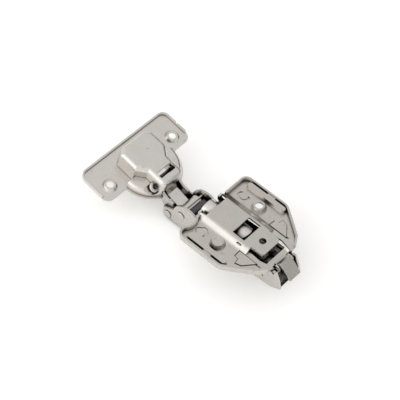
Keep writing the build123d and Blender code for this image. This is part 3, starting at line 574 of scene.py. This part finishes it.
@dataclass
class Links(Fitting):
    """Outer and inner link, each bent from one strip.

    The inner link's web is placed along the line from its rear pivot to its front one, and below
    that line. Its near side is moved from web_side to web_new_side.
    """

    edge_mm: float = 0.2
    rear_pivot: tuple[float, float] = (-32.32, -16.59)
    run: tuple[float, float] = (-0.9505, 0.3108)
    web_from: float = 9.4
    web_below: float = 2.6
    web_longer: float = 0.5
    web_side: float = -4.0
    web_new_side: float = -3.2

    def build(self) -> None:
        """Makes both links."""
        self.stamping("outer_link", Body.OUTER_LINK, Slot.SHEET, self.edge_mm)
        inner = merged_copy("inner_link")
        self.shape_web(inner)
        self.finish_stamping(inner, "inner_link", Body.INNER_LINK, Slot.SHEET, self.edge_mm,
                             DRAWN_SHEET)

    def shape_web(self, inner: bpy.types.Object) -> None:
        """Carries the web's flat on towards the front eye and draws the web's near side in.

        Args:
            inner: merged copy of the inner link.
        """
        along_x, along_z = self.run
        for point in inner.data.vertices:
            x, z = point.co.x / MM - self.rear_pivot[0], point.co.z / MM - self.rear_pivot[1]
            along, below = x * along_x + z * along_z, z * along_x - x * along_z
            if abs(point.co.y / MM - self.web_side) < NEAR_MM:
                point.co.y = self.web_new_side * MM
            if along > self.web_from and below > self.web_below:
                point.co.x += self.web_longer * along_x * MM
                point.co.z += self.web_longer * along_z * MM


@dataclass
class Arm(Fitting):
    """Channel arm with its rivets, crossbar, spring and damper.

    Seen from the side, its back is a straight line through back_start that rises by back_rise
    over back_run. A rear corner is its CAD x and z and then its new ones.
    """

    edge_mm: float = 0.22
    bend_mm: float = 1.1
    half_width: float = 8.2
    back_start: tuple[float, float] = (-31.4, -26.5)
    back_run: float = 48.4
    back_rise: float = 7.3
    back_ends: tuple[float, float] = (-31.6, 17.2)
    back_near: float = 0.05
    bend_level: float = -14.0
    bend_least: float = 0.5
    bar_edge_mm: float = 0.12
    damper_edge_mm: float = 0.3
    rivet_edge_mm: float = 0.25
    rear_corners: tuple[tuple[float, float, float, float], ...] = (
        (32.7, -2.9, 32.6, -3.1), (34.4, -6.4, 33.6, -5.9), (36.2, -9.2, 35.2, -9.4))
    corner_near: float = 0.05

    def build(self) -> None:
        """Makes the arm and all that is fixed in it."""
        arm = merged_copy("hinge_arm")
        self.trim_rear(arm)
        round_edges(arm, self.on_bend, self.bend_mm)
        self.finish_stamping(arm, "hinge_arm", Body.ARM, Slot.SHEET, self.edge_mm)
        self.stamping("damper_bracket", Body.ARM, Slot.SHEET, self.bar_edge_mm)
        self.stamping("damper_housing", Body.ARM, Slot.DAMPER, self.damper_edge_mm)
        for rivet in ("front_rivet", "rear_rivet"):
            self.stamping(rivet, Body.ARM, Slot.PIN, self.rivet_edge_mm)
        self.keep("tilt_pin", Slot.PIN)
        self.keep("closing_spring", Slot.SPRING)
        self.keep("damper_piston", Slot.PISTON)

    def trim_rear(self, arm: bpy.types.Object) -> None:
        """Draws the corners of the walls' rear edges in, each from its CAD place to a new one.

        Args:
            arm: merged copy of the arm.
        """
        for point in arm.data.vertices:
            for x, z, new_x, new_z in self.rear_corners:
                if math.hypot(point.co.x / MM - x, point.co.z / MM - z) < self.corner_near:
                    point.co.x, point.co.z = new_x * MM, new_z * MM

    def on_bend(self, first: Vector, second: Vector) -> bool:
        """Tells if an edge runs along the outer bend between the arm's back and a wall.

        Args:
            first: one end of the edge, in millimetres.
            second: its other end.

        Returns:
            If it does.
        """
        placed = all(abs(abs(point.y) - self.half_width) < NEAR_MM
                     and point.z < self.bend_level and self.on_back(point)
                     for point in (first, second))
        return placed and abs(first.x - second.x) > self.bend_least

    def on_back(self, point: Vector) -> bool:
        """Tells if a point is on the arm's long straight back.

        Args:
            point: the point in millimetres.

        Returns:
            If it is.
        """
        start_x, start_z = self.back_start
        first, last = self.back_ends
        level = start_z + (point.x - start_x) * self.back_rise / self.back_run
        return first < point.x < last and abs(point.z - level) < self.back_near


@dataclass
class Adjusters(Fitting):
    """Plate that the arm tilts and slides on, with the depth cam and the overlay screw."""

    edge_mm: float = 0.16
    cam_edge_mm: float = 0.14
    screw_edge_mm: float = 0.12

    def build(self) -> None:
        """Makes the adjuster's three pieces."""
        self.stamping("adjuster_plate", Body.ADJUSTER, Slot.SHEET, self.edge_mm)
        self.stamping("depth_cam", Body.DEPTH_CAM, Slot.PIN, self.cam_edge_mm)
        self.stamping("overlay_screw", Body.OVERLAY_SCREW, Slot.PIN, self.screw_edge_mm)


@dataclass
class Plate(Fitting):
    """Winged mounting plate.

    Its band is drawn up from the sheet, so the slope on each side starts and ends in a wide
    curve. The front edge keeps its arc, the scallop, beside the near wing, and is drawn out to a
    straight line beside the far one, with both walls of the lip that stands along it.
    """

    edge_mm: float = 0.22
    band_half: float = 8.2
    foot_half: float = 11.4
    wing_level: float = -2.5
    band_front: float = -18.75
    band_rear: float = 14.75
    band_edge: float = -15.3
    curve_inner: float = 7.2
    curve_outer: float = 12.4
    cuts: int = 13
    far_edge: tuple[float, float] = (10.5, 22.5)
    front_edge: float = -18.7
    front_near: float = 0.05
    lip_wall: float = 1.1
    lip_outer: float = -18.0
    scallop_end: float = -15.3
    scallop_middle: tuple[float, float] = (-22.6, 16.5)
    scallop_half: float = 3.6
    scallop_outer: float = 6.3
    arrow: tuple[tuple[float, float], ...] = ((11.1, 11.5), (22.8, 11.5), (17.7, 17.8),
                                              (14.3, 18.8), (13.6, 15.6), (11.3, 15.5))
    arrow_levels: tuple[float, float] = (-3.4, -1.9)
    arrow_taper: float = 0.97
    arrow_edge_mm: float = 0.3
    trench_levels: tuple[float, float] = (-3.0, -1.5)
    trench_grow: float = 1.08

    def build(self) -> None:
        """Makes the plate and seats it."""
        plate = merged_copy("base_plate")
        self.straighten_front(plate)
        self.curve_slopes(plate)
        break_edges(plate, self.edge_mm)
        for wing in Wing:
            self.raise_arrow(plate, wing)
        smooth(plate)
        seat(plate, Body.MOUNT, OPEN_SHEET.make(), "base_plate")

    def straighten_front(self, plate: bpy.types.Object) -> None:
        """Draws the front edge beside the far wing out to a straight line.

        Args:
            plate: merged copy of the plate.
        """
        near, far = self.far_edge
        for point in plate.data.vertices:
            x, y, _ = point.co / MM
            if near < y < far and x <= self.scallop_end:
                outer = self.outer_wall(x, y)
                point.co.x = (self.front_edge if outer else self.front_edge + self.lip_wall) * MM

    def raise_arrow(self, plate: bpy.types.Object, wing: Wing) -> None:
        """Presses a clip-direction arrow up out of one wing, with the punch's line round it.

        Args:
            plate: the plate, with its slopes done.
            wing: the wing that carries it.
        """
        trench = self.arrow_block(wing, self.trench_levels, self.trench_grow, 1.0)
        self.combine(plate, trench, Join.CUT)
        arrow = self.arrow_block(wing, self.arrow_levels, 1.0, self.arrow_taper)
        break_edges(arrow, self.arrow_edge_mm)
        self.combine(plate, arrow, Join.ADD)

    def arrow_block(self, wing: Wing, levels: tuple[float, float], grow: float,
                    taper: float) -> bpy.types.Object:
        """Makes a block with the arrow's outline.

        Args:
            wing: the wing that it stands on.
            levels: height of its foot and of its top.
            grow: how many times larger it is than the arrow.
            taper: how many times larger its top is than its foot.

        Returns:
            The block.
        """
        bpy.ops.object.select_all(action="DESELECT")
        bpy.ops.mesh.primitive_circle_add(vertices=len(self.arrow), radius=MM, fill_type="NGON")
        block = bpy.context.object
        foot, top = levels
        for point, (x, y) in zip(block.data.vertices, self.arrow):
            point.co = (x * MM, wing.value * y * MM, foot * MM)
        bpy.ops.object.mode_set(mode="EDIT")
        bpy.ops.mesh.select_all(action="SELECT")
        bpy.ops.transform.resize(value=(grow, grow, 1))
        lift = (0, 0, (top - foot) * MM)
        bpy.ops.mesh.extrude_region_move(TRANSFORM_OT_translate={"value": lift})
        bpy.ops.transform.resize(value=(taper, taper, 1))
        bpy.ops.mesh.select_all(action="SELECT")
        bpy.ops.mesh.normals_make_consistent(inside=False)
        bpy.ops.object.mode_set(mode="OBJECT")
        return block

    def combine(self, plate: bpy.types.Object, block: bpy.types.Object, join: Join) -> None:
        """Adds a block to the plate or cuts it away, and removes the block.

        Args:
            plate: the plate.
            block: the block.
            join: how the two are joined.
        """
        pick_only(plate)
        step = plate.modifiers.new("arrow", "BOOLEAN")
        step.operation = join.value
        step.solver = "EXACT"
        step.object = block
        bpy.ops.object.modifier_apply(modifier=step.name)
        bpy.data.objects.remove(block, do_unlink=True)

    def outer_wall(self, x: float, y: float) -> bool:
        """Tells if a point of the front edge is on the lip's outer wall.

        Args:
            x: its place along the plate.
            y: its place across the plate.

        Returns:
            If it is.
        """
        middle_x, middle_y = self.scallop_middle
        if abs(y - middle_y) < self.scallop_half:
            return math.hypot(x - middle_x, y - middle_y) < self.scallop_outer
        return x < self.lip_outer

    def curve_slopes(self, plate: bpy.types.Object) -> None:
        """Curves the straight slopes beside the band and draws its front edge back.

        Args:
            plate: merged copy of the plate.
        """
        pick_only(plate)
        width = self.curve_outer - self.curve_inner
        for wing in Wing:
            for cut in range(self.cuts):
                across = self.curve_inner + width * cut / (self.cuts - 1)
                bpy.ops.object.mode_set(mode="EDIT")
                bpy.ops.mesh.select_all(action="SELECT")
                bpy.ops.mesh.bisect(plane_co=(0, wing.value * across * MM, 0),
                                    plane_no=(0, 1, 0))
                bpy.ops.object.mode_set(mode="OBJECT")
        for point in plate.data.vertices:
            x, y, _ = point.co / MM
            if self.band_front <= x <= self.band_rear:
                point.co.z += self.lift(abs(y)) * MM
            if x < self.front_edge + self.front_near and abs(y) < self.band_half:
                point.co.x = self.band_edge * MM

    def lift(self, across: float) -> float:
        """Tells how far the curve lies above the straight slope.

        Args:
            across: distance from the plate's middle line.

        Returns:
            The height between the two.
        """
        if not self.curve_inner < across < self.curve_outer:
            return 0.0
        share = (across - self.curve_inner) / (self.curve_outer - self.curve_inner)
        # level at both ends and steepest in the middle
        curve = self.wing_level * share * share * (3 - 2 * share)
        run = (across - self.band_half) / (self.foot_half - self.band_half)
        return curve - self.wing_level * min(max(run, 0.0), 1.0)


@dataclass
class Latch(Fitting):
    """Carrier under the plate, with the release lever, its pin and its spring."""

    edge_mm: float = 0.16
    lever_edge_mm: float = 0.2

    def build(self) -> None:
        """Makes the carrier and the lever."""
        self.stamping("clip_carrier", Body.MOUNT, Slot.SHEET, self.edge_mm, CHANNEL_SHEET)
        self.stamping("release_lever", Body.RELEASE_LEVER, Slot.SHEET, self.lever_edge_mm)
        self.keep("lever_pin", Slot.PIN)
        self.keep("lever_spring", Slot.SPRING)


@dataclass
class Studio:
    """Floor, surroundings, one soft key light and the camera.

    Polished sheet shows what stands round it, so the room is bright on the side of the key
    light, mid grey overhead and dark on the far side. Each step of the room is a share of the
    way from its far side to its bright one, and the level there.
    """

    camera_place: tuple[float, float, float] = (0.22629, -0.31097, 0.51877)
    camera_azimuth: float = 39.135
    camera_elevation: float = 52.587
    camera_roll: float = 4.482
    camera_lens: float = 113.19
    camera_sensor: float = 36.0
    camera_reach: tuple[float, float] = (0.01, 50.0)
    floor_drop: float = 0.0286
    floor_half: float = 3.0
    floor_glow: float = 0.18
    floor_tones: tuple[str, str] = ("#f9f9f8", "#fdfdfc")
    floor_glow_tone: str = "#fffdfa"
    floor_roughness: float = 0.9
    fibre_mm: float = 2.5
    bright_side: tuple[float, float, float] = (-0.2, -0.85, 0.48)
    room: tuple[tuple[float, float], ...] = ((0.0, 0.08), (0.22, 0.14), (0.31, 0.58),
                                             (0.53, 0.65), (0.72, 0.72), (0.87, 0.8),
                                             (0.95, 1.05), (1.0, 1.2))
    room_strength: float = 1.34
    key_place: tuple[float, float, float] = (-0.36, -0.64, 0.62)
    key_width: float = 0.5
    key_watts: float = 0.3

    def build(self) -> None:
        """Makes the whole studio."""
        self.build_floor()
        self.build_surroundings()
        self.build_light()
        self.build_camera()

    def build_floor(self) -> None:
        """Lays a pale, evenly lit floor under the lowest point of the arm."""
        bpy.ops.object.select_all(action="DESELECT")
        bpy.ops.mesh.primitive_plane_add(size=2 * self.floor_half,
                                         location=(0, 0, -self.floor_drop))
        floor = bpy.context.object
        floor.name = "floor"
        # matt white paper, faintly uneven from its fibres; its slight glow keeps it pale
        # where the hinge shades it
        material, tree, place = blank_material("pale studio paper")
        fibre = add_node(tree, "ShaderNodeTexNoise",
                         {"Vector": place, "Scale": per_metre(self.fibre_mm)})
        first, second = self.floor_tones
        paper = add_node(tree, "ShaderNodeMix",
                         {MIX_SHARE: fibre.outputs["Fac"], MIX_FIRST: linear(first),
                          MIX_SECOND: linear(second)}, data_type="RGBA")
        shader = add_node(tree, "ShaderNodeBsdfPrincipled",
                          {"Base Color": paper.outputs[MIX_RESULT],
                           "Roughness": self.floor_roughness,
                           "Emission Color": linear(self.floor_glow_tone),
                           "Emission Strength": self.floor_glow})
        add_node(tree, "ShaderNodeOutputMaterial", {"Surface": shader.outputs["BSDF"]})
        floor.data.materials.append(material)

    def build_surroundings(self) -> None:
        """Lights the room softly, from its bright side to its far side."""
        world = bpy.data.worlds.new("studio")
        bpy.context.scene.world = world
        world.use_nodes = True
        tree = world.node_tree
        background = tree.nodes["Background"]
        place = add_node(tree, "ShaderNodeTexCoord")
        side = Vector(self.bright_side).normalized()
        facing = add_node(tree, "ShaderNodeVectorMath", {0: place.outputs["Generated"], 1: side},
                          operation="DOT_PRODUCT")
        share = add_node(tree, "ShaderNodeMapRange",
                         {"Value": facing.outputs["Value"], "From Min": -1.0, "From Max": 1.0})
        ramp = add_node(tree, "ShaderNodeValToRGB", {"Fac": share.outputs["Result"]})
        steps = ramp.color_ramp.elements
        while len(steps) < len(self.room):
            steps.new(0.5)
        for step, (position, level) in zip(steps, self.room):
            step.position = position
            step.color = (level, level, level, 1.0)
        tree.links.new(ramp.outputs["Color"], background.inputs["Color"])
        background.inputs["Strength"].default_value = self.room_strength

    def build_light(self) -> None:
        """Hangs a large soft key light on the bright side, facing the hinge."""
        place = Vector(self.key_place)
        data = bpy.data.lights.new("key", "AREA")
        data.shape = "DISK"
        data.size = self.key_width
        data.energy = self.key_watts
        light = bpy.data.objects.new("key", data)
        bpy.context.scene.collection.objects.link(light)
        light.location = place
        light.rotation_euler = (-place).to_track_quat("-Z", "Y").to_euler()

    def build_camera(self) -> None:
        """Sets the camera at its place, with its direction, roll and focal length."""
        azimuth, elevation, roll = (math.radians(angle) for angle in
                                    (self.camera_azimuth, self.camera_elevation,
                                     self.camera_roll))
        back = Vector((math.sin(azimuth) * math.cos(elevation),
                       -math.cos(azimuth) * math.cos(elevation), math.sin(elevation)))
        level = Vector((0, 0, 1)).cross(back).normalized()
        over = back.cross(level)
        right = level * math.cos(roll) + over * math.sin(roll)
        up = back.cross(right)
        data = bpy.data.cameras.new("camera")
        data.lens = self.camera_lens
        data.sensor_width = self.camera_sensor
        data.clip_start, data.clip_end = self.camera_reach
        camera = bpy.data.objects.new("camera", data)
        bpy.context.scene.collection.objects.link(camera)
        turned = Matrix((right, up, back)).transposed().to_4x4()
        camera.matrix_world = Matrix.Translation(self.camera_place) @ turned
        bpy.context.scene.camera = camera


def main() -> None:
    """Builds the hinge's looks and the studio."""
    logging.basicConfig(level=logging.INFO, format="%(name)s: %(message)s")
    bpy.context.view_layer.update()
    materials = {slot: finish.make() for slot, finish in FINISHES.items()}
    for fitting in (Cup, Links, Arm, Adjusters, Plate, Latch):
        LOG.info("%s", fitting.__name__)
        fitting(materials).build()
    Studio().build()
    bpy.context.scene.view_settings.view_transform = "Standard"


if __name__ == "__main__":
    main()
